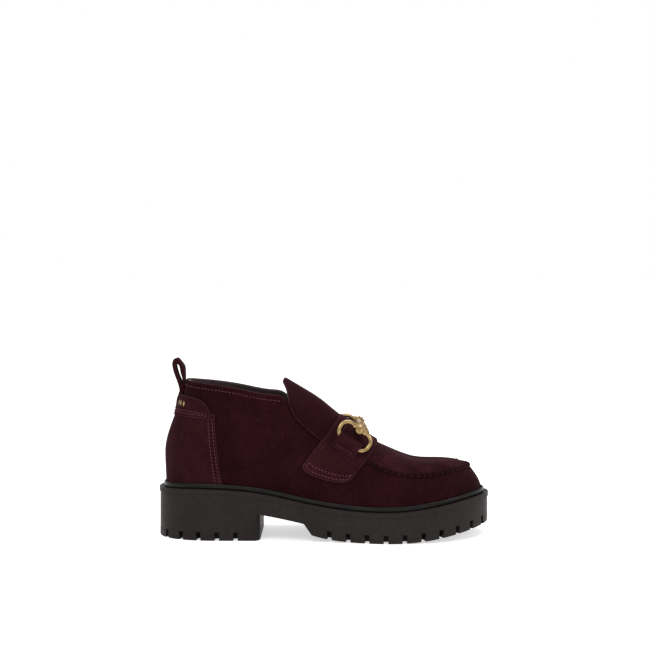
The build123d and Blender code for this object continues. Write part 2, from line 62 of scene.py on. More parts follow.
# ---------------------------------------------------------------- the last's surface, in millimetres
# Ribs of the last, from the heel's back round the lateral side, the toe and the medial side:
# outsole edge x and y, how far the rib's top leans in, the height of its top, and its bulge.
RIBS = [
    (-143.2, 0.0, 16.7, 135.0, 1.3),
    (-138.2, -17.0, 14.7, 134.8, 1.3),
    (-124.0, -29.5, 9.5, 134.0, 1.4),
    (-105.0, -35.0, 4.5, 132.4, 2.0),
    (-75.0, -36.0, 3.2, 128.4, 2.8),
    (-46.0, -37.0, 4.6, 123.2, 2.8),
    (-34.0, -38.0, 6.0, 119.5, 2.6),
    (-20.0, -39.3, 8.0, 101.0, 2.5),
    (-5.0, -41.0, 9.5, 92.0, 2.4),
    (28.0, -45.6, 9.2, 69.5, 1.6),
    (58.0, -49.0, 8.6, 56.8, 0.8),
    (85.0, -47.0, 9.0, 54.2, 0.6),
    (110.0, -38.5, 9.6, 56.2, 0.5),
    (130.0, -23.5, 10.2, 57.8, 0.5),
    (141.5, -6.0, 11.2, 58.0, 0.5),
    (142.9, 8.0, 11.2, 58.0, 0.5),
    (137.0, 22.0, 10.4, 58.0, 0.5),
    (124.0, 35.5, 10.2, 57.2, 0.5),
    (106.0, 43.6, 9.8, 55.8, 0.5),
    (84.0, 48.0, 9.4, 54.4, 0.6),
    (58.0, 48.4, 8.8, 56.8, 0.8),
    (28.0, 43.0, 9.2, 69.5, 1.6),
    (-5.0, 37.0, 7.6, 92.0, 2.4),
    (-20.0, 34.8, 5.6, 101.0, 2.5),
    (-34.0, 33.6, 3.4, 119.5, 2.6),
    (-46.0, 33.2, 2.4, 123.2, 2.8),
    (-75.0, 33.6, 2.0, 128.4, 2.8),
    (-105.0, 34.2, 4.0, 132.4, 2.0),
    (-124.0, 29.4, 9.5, 134.0, 1.4),
    (-138.2, 17.0, 14.7, 134.8, 1.3),
]

# Side profiles, as (x, z).
SOLE_TOP = [(-144, 41.0), (-115, 42.8), (-90, 42.6), (-60, 40.2), (-44, 37.6), (-21, 32.8), (5, 28.3),
            (28, 25.9), (48, 25.3), (70, 26.4), (88, 28.6), (108, 31.8), (126, 34.4), (144, 36.1)]
RIDGE = [(-45, 138.5), (-32, 131.2), (-19, 123.4), (-2, 112.2), (11, 101.9), (23, 93.8), (38, 83.2),
         (48, 77.6), (56, 73.8), (66, 69.0), (80, 64.5), (95, 63.6), (112, 64.0), (126, 63.6)]
POLE_X = 98.0  # ribs in front of this run to one point of the ridge
ARCH_POWER, PLUG_POWER = 2.4, 4.6


def cubic(at, values, period=None):
    """A cubic spline through values at rising positions: natural ends, or periodic."""
    at, values = np.asarray(at, float), np.asarray(values, float)
    if period:
        at, values = np.append(at, at[0] + period), np.concatenate([values, values[:1]])
    step = np.diff(at)
    slope = (np.diff(values, axis=0).T / step).T
    count = len(at)
    matrix, right = np.zeros((count, count)), np.zeros_like(values)
    for i in range(1, count - 1):
        matrix[i, i - 1:i + 2] = step[i - 1], 2 * (step[i - 1] + step[i]), step[i]
        right[i] = 6 * (slope[i] - slope[i - 1])
    if period:
        matrix[0, [0, 1, -2]] = 2 * (step[0] + step[-1]), step[0], step[-1]
        right[0] = 6 * (slope[0] - slope[-1])
        matrix[-1, [0, -1]] = 1, -1
    else:
        matrix[0, 0] = matrix[-1, -1] = 1
    bend = np.linalg.solve(matrix, right)

    def curve(t):
        t = np.asarray(t, float)
        t = at[0] + (t - at[0]) % period if period else t
        i = np.clip(np.searchsorted(at, t, side="right") - 1, 0, count - 2)
        h, a = step[i], t - at[i]
        b = h - a
        wide = (...,) + (None,) * (values.ndim - 1)
        return (bend[i] * (b**3 / (6 * h))[wide] + bend[i + 1] * (a**3 / (6 * h))[wide]
                + (values[i] / h[wide] - bend[i] * h[wide] / 6) * b[wide]
                + (values[i + 1] / h[wide] - bend[i + 1] * h[wide] / 6) * a[wide])

    return curve


def eased(x, low, high):
    t = np.clip((np.asarray(x, float) - low) / (high - low), 0, 1)
    return t * t * (3 - 2 * t)


ribs = np.array(RIBS)
chords = np.linalg.norm(np.diff(ribs[:, :2], axis=0, append=ribs[:1, :2]), axis=1)
stations = np.concatenate([[0], np.cumsum(chords)[:-1]]) / chords.sum()
sole_edge = cubic(stations, ribs[:, :2], 1.0)
rib_shape = cubic(stations, ribs[:, 2:], 1.0)
sole_top = cubic(*zip(*SOLE_TOP))
ridge = cubic(*zip(*RIDGE))


def inward(u):
    """The unit normal of the outsole's edge, pointing into the shoe."""
    along = sole_edge(u + 1e-4) - sole_edge(u - 1e-4)
    along /= np.linalg.norm(along, axis=-1, keepdims=True)
    return np.stack([-along[..., 1], along[..., 0]], axis=-1)


def feather_inset(x):
    return HEEL_INSET + (FEATHER_INSET - HEEL_INSET) * eased(x, -88, -64)


def arch_power(x):
    return ARCH_POWER + (PLUG_POWER - ARCH_POWER) * eased(x, 35, 85)


def rib_top(u):
    """Where the wall of the upper ends: the collar, and in front the seam to the plug."""
    lean, height, _ = np.moveaxis(rib_shape(u), -1, 0)
    edge = sole_edge(u)
    plan = edge + inward(u) * (feather_inset(edge[..., 0]) + lean)[..., None]
    return np.concatenate([plan, height[..., None]], axis=-1)


def wall(u, v):
    """The outer face of the wall: v is 0 at the sole and 1 at the rib's top."""
    u, v = np.broadcast_arrays(np.asarray(u, float), np.asarray(v, float))
    lean, height, bulge = np.moveaxis(rib_shape(u), -1, 0)
    edge = sole_edge(u)
    foot = edge + inward(u) * feather_inset(edge[..., 0])[..., None]
    low = sole_top(foot[..., 0])
    top = rib_top(u)
    crown = ridge(np.minimum(top[..., 0], POLE_X))
    reach = np.where(top[..., 0] < POLE_X, np.abs(top[..., 1]), np.hypot(top[..., 0] - POLE_X, top[..., 1]))
    steep = arch_power(top[..., 0]) * (crown - height) / reach
    power = np.clip(((height - low) / np.maximum(steep, 0.1) - bulge * np.pi) / lean, 1.8, 3.0)
    power = 2.0 + (power - 2.0) * eased(top[..., 0], -45, -25)
    heel = 1 - eased(edge[..., 0], -128, -96)
    rise = (1 - heel) * np.abs(v) ** power + heel * eased(v, 0.3, 1.0)
    inset = lean * rise - bulge * np.sin(np.pi * v)
    plan = foot + inward(u) * inset[..., None]
    return np.concatenate([plan, (low + v * (height - low))[..., None]], axis=-1)


# The plan of the rib tops, as a table from which the top surface takes its width.
fine_u = np.linspace(0, 1, 1441)
fine_top = rib_top(fine_u)
front = (fine_top[:, 0] > -45)
lateral_top = fine_top[front & (fine_u < 0.5)]
medial_top = fine_top[front & (fine_u >= 0.5)][::-1]


def top_height(x, y):
    """The outer face of the plug, the instep and the tongue, as a height over the plan."""
    x, y = np.broadcast_arrays(np.asarray(x, float), np.asarray(y, float))
    result = np.empty(x.shape)
    for side, line in ((y < 0, lateral_top), (y >= 0, medial_top)):
        behind = line[:, 0] <= POLE_X + 4
        xs, ys = line[behind, 0], np.abs(line[behind, 1])
        order = np.argsort(xs)
        width = np.interp(x, xs[order], ys[order])
        edge = np.interp(x, xs[order], line[behind, 2][order])
        far = np.arctan2(np.abs(line[:, 1]), line[:, 0] - POLE_X)
        reach = np.hypot(line[:, 0] - POLE_X, line[:, 1])
        turn = np.argsort(far)
        angle = np.arctan2(np.abs(y), x - POLE_X)
        polar = x > POLE_X
        share = np.where(polar, np.hypot(x - POLE_X, y) / np.interp(angle, far[turn], reach[turn]),
                         np.abs(y) / width)
        edge = np.where(polar, np.interp(angle, far[turn], line[:, 2][turn]), edge)
        crown = ridge(x)
        z = crown - (crown - edge) * share ** arch_power(x)
        result[side] = z[side]
    return result


def girth_line(x, side):
    """The upper's section at x as points from the ridge down to the sole; side is -1 lateral, 1 medial."""
    line = lateral_top if side < 0 else medial_top
    us = fine_u[front & (fine_u < 0.5)] if side < 0 else fine_u[front & (fine_u >= 0.5)][::-1]
    behind = line[:, 0] < POLE_X
    order = np.argsort(line[behind, 0])
    u = float(np.interp(x, line[behind, 0][order], us[behind][order]))
    top = rib_top(np.array(u))
    plan_y = top[1] * np.linspace(0, 1, 40)
    upper = np.stack([np.full(40, top[0]), plan_y, top_height(np.full(40, top[0]), plan_y)], axis=-1)
    upper[-1] = top
    return np.concatenate([upper, wall(u, np.linspace(1, 0, 60))[1:]])


def girth_row(x):
    """The section at x, resampled at every millimetre of girth from -GIRTH (lateral) to GIRTH."""
    halves = []
    for side in (-1, 1):
        line = girth_line(x, side)
        run = np.concatenate([[0], np.cumsum(np.linalg.norm(np.diff(line, axis=0), axis=1))])
        halves.append(np.stack([np.interp(np.arange(GIRTH + 1), run, line[:, k]) for k in range(3)], axis=-1))
    return np.concatenate([halves[0][:0:-1], halves[1]])


GIRTH = 84
GIRTH_X = np.arange(-44.0, 62.0, 1.0)
girth_table = np.array([girth_row(x) for x in GIRTH_X])


def girth(x, g):
    """The outer face at section x and distance g from the ridge, lateral negative."""
    x, g = np.broadcast_arrays(np.asarray(x, float), np.asarray(g, float))
    i = np.clip(x - GIRTH_X[0], 0, len(GIRTH_X) - 1.001)
    j = np.clip(g + GIRTH, 0, 2 * GIRTH - 0.001)
    i0, j0 = i.astype(int), j.astype(int)
    a, b = (i - i0)[..., None], (j - j0)[..., None]
    low = girth_table[i0, j0] * (1 - b) + girth_table[i0, j0 + 1] * b
    high = girth_table[i0 + 1, j0] * (1 - b) + girth_table[i0 + 1, j0 + 1] * b
    return low * (1 - a) + high * a


def band(x0, g, skew):
    """Like girth, but the section leans back by skew per millimetre of fall from the ridge at x0."""
    x0, g, skew = np.broadcast_arrays(*(np.asarray(a, float) for a in (x0, g, skew)))
    x = x0.copy()
    for _ in range(24):
        x = 0.45 * x + 0.55 * (x0 + skew * (girth(x, g)[..., 2] - ridge(x0)))
    return girth(x, g)


def plug_point(a, b):
    """The top surface from X = PLUG_REAR (a = 0) to the toe (a = 1), b from -1 lateral to 1."""
    x = PLUG_REAR + (PLUG_FRONT - PLUG_REAR) * np.sin(np.asarray(a, float) * np.pi / 2)
    b = np.asarray(b, float)
    widths = []
    for line in (lateral_top, medial_top):
        order = np.argsort(line[:, 0])
        widths.append(np.interp(x, line[order, 0], np.abs(line[order, 1] - TOE_Y)))
    y = TOE_Y + np.where(b < 0, b * widths[0], b * widths[1])
    return np.stack([x + 0 * y, y, top_height(x + 0 * y, y)], axis=-1)


toe = fine_top[np.argmax(fine_top[:, 0])]
TOE_Y = toe[1]
PLUG_REAR, PLUG_FRONT = 15.0, toe[0] - 0.25


def normals(shape, a, b):
    step = 2e-3
    p = shape(a, b)
    along = np.where((a < 0.5)[..., None], shape(a + step, b) - p, p - shape(a - step, b))
    across = np.where((b < 0.5)[..., None], shape(a, b + step) - p, p - shape(a, b - step))
    n = np.cross(along, across)
    n /= np.linalg.norm(n, axis=-1, keepdims=True)
    hub = np.stack([np.clip(p[..., 0], -100, 90), 0 * p[..., 1], np.full(p.shape[:-1], 45.0)], axis=-1)
    flip = np.sign(np.sum((p - hub) * n, axis=-1, keepdims=True))
    return n * flip


# ---------------------------------------------------------------- materials


def material(name, **values):
    mat = bpy.data.materials.new(name)
    mat.use_nodes = True
    shader = mat.node_tree.nodes["Principled BSDF"]
    for key, value in values.items():
        shader.inputs[key.replace("_", " ")].default_value = value
    return mat, mat.node_tree, shader


def noise(tree, scale, detail=4.0, stretch=None, kind="ShaderNodeTexNoise"):
    """A texture in object coordinates; scale is in features per metre."""
    coordinates = tree.nodes.new("ShaderNodeTexCoord")
    texture = tree.nodes.new(kind)
    texture.inputs["Scale"].default_value = scale
    if kind == "ShaderNodeTexNoise":
        texture.inputs["Detail"].default_value = detail
    source = coordinates.outputs["Object"]
    if stretch:
        mapping = tree.nodes.new("ShaderNodeMapping")
        mapping.inputs["Scale"].default_value = stretch
        tree.links.new(source, mapping.inputs["Vector"])
        source = mapping.outputs["Vector"]
    tree.links.new(source, texture.inputs["Vector"])
    return texture.outputs["Fac" if kind == "ShaderNodeTexNoise" else "Distance"]


def ramp(tree, source, stops):
    node = tree.nodes.new("ShaderNodeValToRGB")
    elements = node.color_ramp.elements
    while len(elements) < len(stops):
        elements.new(0.5)
    for element, (position, color) in zip(elements, stops):
        element.position = position
        element.color = (*color, 1)
    tree.links.new(source, node.inputs["Fac"])
    return node.outputs["Color"]


def mix(tree, factor, one, two, mode="MIX"):
    node = tree.nodes.new("ShaderNodeMix")
    node.data_type = "RGBA"
    node.blend_type = mode
    for value, socket in ((factor, node.inputs[0]), (one, node.inputs[6]), (two, node.inputs[7])):
        if isinstance(value, (int, float)):
            socket.default_value = value
        elif isinstance(value, tuple):
            socket.default_value = (*value, 1)
        else:
            tree.links.new(value, socket)
    return node.outputs[2]


def bump(tree, shader, sources):
    """Stacks bump maps: each is (texture, strength, distance in metres)."""
    last = None
    for source, strength, distance in sources:
        node = tree.nodes.new("ShaderNodeBump")
        node.inputs["Strength"].default_value = strength
        node.inputs["Distance"].default_value = distance
        tree.links.new(source, node.inputs["Height"])
        if last:
            tree.links.new(last, node.inputs["Normal"])
        last = node.outputs["Normal"]
    tree.links.new(last, shader.inputs["Normal"])


def suede(name, dark, light, nap):
    mat, tree, shader = material(name, Roughness=0.95)
    shader.inputs["Sheen Weight"].default_value = 0.03
    shader.inputs["Sheen Roughness"].default_value = 0.5
    shader.inputs["Sheen Tint"].default_value = (0.75, 0.42, 0.5, 1)
    shader.inputs["Specular IOR Level"].default_value = 0.02
    broad = ramp(tree, noise(tree, 30, 5.0), [(0.32, dark), (0.72, light)])
    fine = ramp(tree, noise(tree, 900, 5.0, (1.0, 1.0, 0.7)), [(0.3, (0.62, 0.62, 0.62)), (0.75, (1.3, 1.3, 1.3))])
    color = mix(tree, 1.0, broad, fine, "MULTIPLY")
    patches = ramp(tree, noise(tree, 110, 6.0), [(0.52, (0, 0, 0)), (0.8, (1, 1, 1))])
    patch_share = mix(tree, 1.0, patches, (nap, nap, nap), "MULTIPLY")
    color = mix(tree, patch_share, color, tuple(min(1.0, 1.9 * c) for c in light))
    tree.links.new(color, shader.inputs["Base Color"])
    bump(tree, shader, [(noise(tree, 2600, 3.0), 0.55, 0.00025), (noise(tree, 260, 4.0), 0.3, 0.0004)])
    return mat


SUEDE_MAT = suede("suede", (0.0100, 0.0019, 0.0026), (0.0175, 0.0036, 0.0050), 0.25)
TRIM_MAT = suede("suede_trim", (0.0140, 0.0030, 0.0041), (0.0250, 0.0062, 0.0082), 0.3)
PLUG_MAT = suede("suede_plug", (0.0130, 0.0027, 0.0038), (0.0250, 0.0066, 0.0088), 0.35)
# darker suede for the seam ridge: painted shade standing in for the shadow in the groove below the plug's edge
SEAM_SHADE_MAT = suede("suede_seam_painted_shade", (0.0065, 0.0013, 0.0017), (0.0130, 0.0028, 0.0038), 0.2)
# lighter suede for the panels' rims: partly the cut edges' own lighter colour, partly a painted highlight along the
# edges
CUT_EDGE_AND_HIGHLIGHT_MAT = suede("suede_cut_edge_and_highlight", (0.026, 0.0080, 0.0105), (0.048, 0.0165, 0.0210), 0.3)


def thread_material(name, dark, light):
    mat, tree, shader = material(name, Roughness=0.8)
    shader.inputs["Specular IOR Level"].default_value = 0.08
    color = ramp(tree, noise(tree, 1500, 2.0), [(0.3, dark), (0.7, light)])
    tree.links.new(color, shader.inputs["Base Color"])
    bump(tree, shader, [(noise(tree, 5000, 1.0, (1.0, 1.0, 3.0)), 0.4, 0.0001)])
    return mat


THREAD_MAT = thread_material("thread", (0.070, 0.020, 0.028), (0.125, 0.044, 0.058))
SEAM_THREAD_MAT = thread_material("seam_thread", (0.012, 0.0035, 0.0045), (0.040, 0.014, 0.018))


def leather_material(name, dark, light, rough):
    mat, tree, shader = material(name)
    color = ramp(tree, noise(tree, 60, 5.0), [(0.3, dark), (0.75, light)])
    tree.links.new(color, shader.inputs["Base Color"])
    wear = ramp(tree, noise(tree, 220, 4.0), [(0.2, (rough - 0.08,) * 3), (0.8, (rough + 0.1,) * 3)])
    tree.links.new(wear, shader.inputs["Roughness"])
    grain = noise(tree, 1300, kind="ShaderNodeTexVoronoi")
    bump(tree, shader, [(grain, 0.35, 0.0002), (noise(tree, 300, 3.0), 0.2, 0.0003)])
    return mat


LINING_MAT = leather_material("lining_leather", (0.0130, 0.0052, 0.0062), (0.0260, 0.0110, 0.0125), 0.55)
SOCK_MAT = leather_material("sock_leather", (0.0180, 0.0075, 0.0085), (0.0330, 0.0150, 0.0165), 0.5)
BOARD_MAT = leather_material("board", (0.20, 0.13, 0.08), (0.34, 0.24, 0.15), 0.8)
FOAM_MAT = leather_material("foam", (0.40, 0.37, 0.30), (0.60, 0.56, 0.48), 0.9)


def rubber_material():
    mat, tree, shader = material("rubber_sole")
    tone = ramp(tree, noise(tree, 25, 4.0), [(0.3, (0.0105, 0.0082, 0.0074)), (0.75, (0.0170, 0.0134, 0.0122))])
    dust = ramp(tree, noise(tree, 420, 6.0), [(0.45, (0.85, 0.85, 0.85)), (0.8, (1.35, 1.32, 1.28))])
    tree.links.new(mix(tree, 1.0, tone, dust, "MULTIPLY"), shader.inputs["Base Color"])
    wear = ramp(tree, noise(tree, 160, 5.0), [(0.25, (0.42,) * 3), (0.8, (0.62,) * 3)])
    tree.links.new(wear, shader.inputs["Roughness"])
    shader.inputs["Specular IOR Level"].default_value = 0.10
    bump(tree, shader, [(noise(tree, 1800, 3.0), 0.18, 0.00015), (noise(tree, 120, 3.0), 0.12, 0.0006)])
    return mat


def welt_material():
    mat, tree, shader = material("gloss_welt")
    tone = ramp(tree, noise(tree, 90, 3.0), [(0.3, (0.0035, 0.0033, 0.0032)), (0.8, (0.0085, 0.0080, 0.0078))])
    tree.links.new(tone, shader.inputs["Base Color"])
    wear = ramp(tree, noise(tree, 350, 4.0), [(0.3, (0.16,) * 3), (0.8, (0.34,) * 3)])
    tree.links.new(wear, shader.inputs["Roughness"])
    shader.inputs["Specular IOR Level"].default_value = 0.12
    bump(tree, shader, [(noise(tree, 500, 2.0), 0.08, 0.0002)])
    return mat


def brass_material():
    mat, tree, shader = material("antique_brass", Metallic=1.0)
    tone = ramp(tree, noise(tree, 240, 5.0), [(0.3, (0.20, 0.128, 0.052)), (0.55, (0.33, 0.228, 0.105)),
                                              (0.8, (0.46, 0.34, 0.18))])
    tree.links.new(tone, shader.inputs["Base Color"])
    wear = ramp(tree, noise(tree, 600, 5.0), [(0.25, (0.20,) * 3), (0.8, (0.42,) * 3)])
    tree.links.new(wear, shader.inputs["Roughness"])
    bump(tree, shader, [(noise(tree, 900, 3.0), 0.04, 0.0001)])
    return mat


RUBBER_MAT, WELT_MAT, BRASS_MAT = rubber_material(), welt_material(), brass_material()


def elastic_material():
    mat, tree, shader = material("elastic", Roughness=0.85)
    rib = noise(tree, 1200, 2.0, (0.15, 0.15, 1.0))
    tree.links.new(ramp(tree, rib, [(0.35, (0.008, 0.003, 0.004)), (0.65, (0.03, 0.011, 0.015))]),
                   shader.inputs["Base Color"])
    bump(tree, shader, [(rib, 0.6, 0.0004)])
    return mat


def foil_material():
    mat, tree, shader = material("foil", Metallic=0.9)
    tone = ramp(tree, noise(tree, 2500, 3.0), [(0.35, (0.18, 0.10, 0.04)), (0.6, (0.50, 0.36, 0.17))])
    tree.links.new(tone, shader.inputs["Base Color"])
    wear = ramp(tree, noise(tree, 1500, 3.0), [(0.3, (0.35,) * 3), (0.8, (0.6,) * 3)])
    tree.links.new(wear, shader.inputs["Roughness"])
    return mat


ELASTIC_MAT, FOIL_MAT = elastic_material(), foil_material()

# ---------------------------------------------------------------- building meshes


def make_object(name, vertices, faces, mat, smooth=True):
    mesh = bpy.data.meshes.new(name)
    mesh.from_pydata([tuple(v) for v in np.asarray(vertices) * MM], [], faces)
    mesh.polygons.foreach_set("use_smooth", [smooth] * len(mesh.polygons))
    mesh.materials.append(mat)
    mesh.update()
    obj = bpy.data.objects.new(name, mesh)
    bpy.context.scene.collection.objects.link(obj)
    return obj


def panel(name, shape, rows, columns, inner, outer, mat, round_by=0.55, closed=False, relief=None, rim_mat=None):
    """A panel between two offsets of shape, with rounded rims; relief(a, b, p) raises its face in mm."""
    a, b = np.meshgrid(rows, columns, indexing="ij")
    p, n = shape(a, b), normals(shape, a, b)
    low = inner(a, b) if callable(inner) else np.full(a.shape, float(inner))
    high = outer(a, b) if callable(outer) else np.full(a.shape, float(outer))
    if relief is not None:
        high = high + relief(a, b, p)
    count_a, count_b = a.shape
    top, bottom = p + n * high[..., None], p + n * low[..., None]

    def border(i, j):
        """Unit step outwards along the panel at a border vertex."""
        step = np.zeros(3)
        if not closed and i in (0, count_a - 1):
            d = p[i, j] - p[1 if i == 0 else -2, j]
            step += d / max(np.linalg.norm(d), 1e-9)
        if j in (0, count_b - 1):
            d = p[i, j] - p[i, 1 if j == 0 else -2]
            step += d / max(np.linalg.norm(d), 1e-9)
        return step / max(np.linalg.norm(step), 1e-9)

    vertices = [v for v in top.reshape(-1, 3)] + [v for v in bottom.reshape(-1, 3)]
    index = lambda i, j, side: side * count_a * count_b + (i % count_a) * count_b + j
    faces = []
    spans = count_a if closed else count_a - 1
    for i in range(spans):
        for j in range(count_b - 1):
            k = (i + 1) % count_a
            faces.append((index(i, j, 0), index(k, j, 0), index(k, j + 1, 0), index(i, j + 1, 0)))
            faces.append((index(i, j, 1), index(i, j + 1, 1), index(k, j + 1, 1), index(k, j, 1)))
    flat_faces = len(faces)
    loops = []
    if closed:
        loops = [[(i, 0) for i in range(count_a)], [(i, count_b - 1) for i in reversed(range(count_a))]]
    else:
        around = [(i, 0) for i in range(count_a)] + [(count_a - 1, j) for j in range(1, count_b)]
        around += [(i, count_b - 1) for i in range(count_a - 2, -1, -1)] + [(0, j) for j in range(count_b - 2, 0, -1)]
        loops = [around]
    for loop in loops:
        rings = [[index(i, j, 0) for i, j in loop]]
        for t in (0.2, 0.5, 0.8):
            ring = []
            for i, j in loop:
                half = (high[i, j] - low[i, j]) / 2
                swell = math.sin(t * math.pi) * min(round_by, half)
                v = p[i, j] + n[i, j] * (high[i, j] - 2 * half * t) + border(i, j) * swell
                ring.append(len(vertices))
                vertices.append(v)
            rings.append(ring)
        rings.append([index(i, j, 1) for i, j in loop])
        for one, two in zip(rings, rings[1:]):
            for k in range(len(loop)):
                m = (k + 1) % len(loop)
                faces.append((one[k], two[k], two[m], one[m]))
    obj = make_object(name, vertices, faces, mat)
    mesh = obj.data
    # by default the rims take the lighter edge suede, which is partly a painted highlight along the edges
    mesh.materials.append(rim_mat or CUT_EDGE_AND_HIGHLIGHT_MAT)
    for k in range(flat_faces, len(mesh.polygons)):
        mesh.polygons[k].material_index = 1
    work = bmesh.new()
    work.from_mesh(mesh)
    bmesh.ops.recalc_face_normals(work, faces=work.faces)
    work.to_mesh(mesh)
    work.free()
    return obj


def path_on(shape, ab, height):
    """Points on shape at the (a, b) pairs, lifted by height (a number or an array) in mm, and normals."""
    a, b = np.array([q[0] for q in ab]), np.array([q[1] for q in ab])
    p, n = shape(a, b), normals(shape, a, b)
    lift = np.broadcast_to(np.asarray(height, float), a.shape)
    return p + n * lift[:, None], n


def resample(points, extra, pitch):
    run = np.concatenate([[0], np.cumsum(np.linalg.norm(np.diff(points, axis=0), axis=1))])
    count = max(2, int(round(run[-1] / pitch)))
    at = (np.arange(count) + 0.5) * run[-1] / count
    out = np.stack([np.interp(at, run, points[:, k]) for k in range(3)], axis=-1)
    out_extra = np.stack([np.interp(at, run, extra[:, k]) for k in range(3)], axis=-1)
    ahead = np.stack([np.interp(at + 0.2, run, points[:, k]) - np.interp(at - 0.2, run, points[:, k])
                      for k in range(3)], axis=-1)
    ahead /= np.maximum(np.linalg.norm(ahead, axis=-1, keepdims=True), 1e-9)
    return out, out_extra, ahead


def capsule(vertices, faces, centre, along, up, length_mm, radius, bow=0.25):
    """One stitch: a short bowed thread with tucked ends."""
    side = np.cross(along, up)
    side /= max(np.linalg.norm(side), 1e-9)
    rings, sectors = 7, 6
    base = len(vertices)
    for r in range(rings):
        t = r / (rings - 1) * 2 - 1
        fat = radius * math.sqrt(max(0.0, 1 - abs(t) ** 3.0)) + 0.02
        c = centre + along * (t * length_mm / 2) + up * (bow * (1 - t * t) - 0.12 * radius)
        for k in range(sectors):
            angle = 2 * math.pi * k / sectors
            vertices.append(c + side * (fat * math.cos(angle)) + up * (fat * math.sin(angle)))
    for r in range(rings - 1):
        for k in range(sectors):
            m = (k + 1) % sectors
            faces.append((base + r * sectors + k, base + r * sectors + m,
                          base + (r + 1) * sectors + m, base + (r + 1) * sectors + k))
    faces.append(tuple(base + k for k in reversed(range(sectors))))
    faces.append(tuple(base + (rings - 1) * sectors + k for k in range(sectors)))


def stitches(name, runs, pitch=3.0, share=0.66, radius=0.31, mat=None):
    """Rows of stitches as one object; each run is (points, normals)."""
    vertices, faces = [], []
    for points, ups in runs:
        centres, up, ahead = resample(points, ups, pitch)
        for c, u, d in zip(centres, up, ahead):
            u = u / np.linalg.norm(u)
            wobble = 0.05 * (random.random() - 0.5)
            d = d + np.cross(u, d) * wobble
            capsule(vertices, faces, c, d, u, pitch * share, radius * random.uniform(0.92, 1.08), 0.16)
    return make_object(name, vertices, faces, mat or THREAD_MAT)


# ---------------------------------------------------------------- the upper's panels
closed_rows = np.linspace(0, 1, 241)[:-1]


def soft_relief(amount, size, seed):
    """A gentle unevenness of the leather, in mm."""
    rng = np.random.default_rng(seed)
    waves = rng.normal(size=(9, 3)) / size
    phase = rng.uniform(0, 6.28, 9)

    def relief(a, b, p):
        total = np.zeros(a.shape)
        for w, f in zip(waves, phase):
            total += np.sin(p @ w + f)
        return amount * total / 3

    return relief


def seam_share(u):
    """1 where the wall's top edge is the hand-sewn seam, 0 elsewhere."""
    x = rib_top(np.asarray(u, float))[..., 0]
    return eased(x, 29, 39)


wall_soft = soft_relief(0.14, 11, 3)
PUCKER_PITCH = 5.5
top_run = np.concatenate([[0], np.cumsum(np.linalg.norm(np.diff(fine_top, axis=0), axis=1))])


def pucker(u):
    """The phase of the gathers along the seam."""
    run = np.interp(u, fine_u, top_run)
    return np.cos(2 * np.pi * run / PUCKER_PITCH)


def wall_relief(a, b, p):
    near = eased(b, 0.72, 0.97)
    gathers = 0.28 * seam_share(a % 1.0) * near * pucker(a % 1.0)
    foot = -0.35 * (1 - eased(b, 0.0, 0.06))
    return wall_soft(a, b, p) * (0.3 + 0.7 * np.sin(np.pi * np.clip(b, 0, 1))) + gathers + foot


wall_object = panel("suede_wall", wall, closed_rows, np.concatenate([[FOOT], np.linspace(0.03, 0.96, 44), [0.985]]),
                    -1.3, 0.0, SUEDE_MAT, closed=True, relief=wall_relief)
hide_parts("vamp_wall")
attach(wall_object, "shoe")


def plug_relief(a, b, p):
    """Gathers run in from the seam and fade; the middle has a few soft waves."""
    edge = np.abs(b)
    seam_u = np.interp(p[..., 0], fine_top[:721, 0], fine_u[:721])
    phase = np.cos(2 * np.pi * np.interp(seam_u, fine_u, top_run) / PUCKER_PITCH)
    polar = eased(p[..., 0], 100, 118)
    around = np.arctan2(p[..., 1] - TOE_Y, np.maximum(p[..., 0] - POLE_X, 0.1))
    phase = phase * (1 - polar) + np.cos(around * 28 * 0.98 / PUCKER_PITCH * 1.1) * polar
    front = eased(a, 0.94, 1.0)
    near = np.maximum(eased(edge, 0.72, 0.97), front)
    return 0.32 * near * phase * eased(p[..., 0], 36, 50) + plug_soft(a, b, p)


plug_soft = soft_relief(0.16, 9, 5)
plug_rows = np.concatenate([np.linspace(0, 0.88, 70), np.linspace(0.88, 0.998, 26)[1:]])
plug_object = panel("suede_plug_panel", plug_point, plug_rows, np.linspace(-0.99, 0.99, 91), -1.3, 0.0,
                    PLUG_MAT, relief=plug_relief)
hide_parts("plug")
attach(plug_object, "shoe")

# ---------------------------------------------------------------- the hand-sewn seam


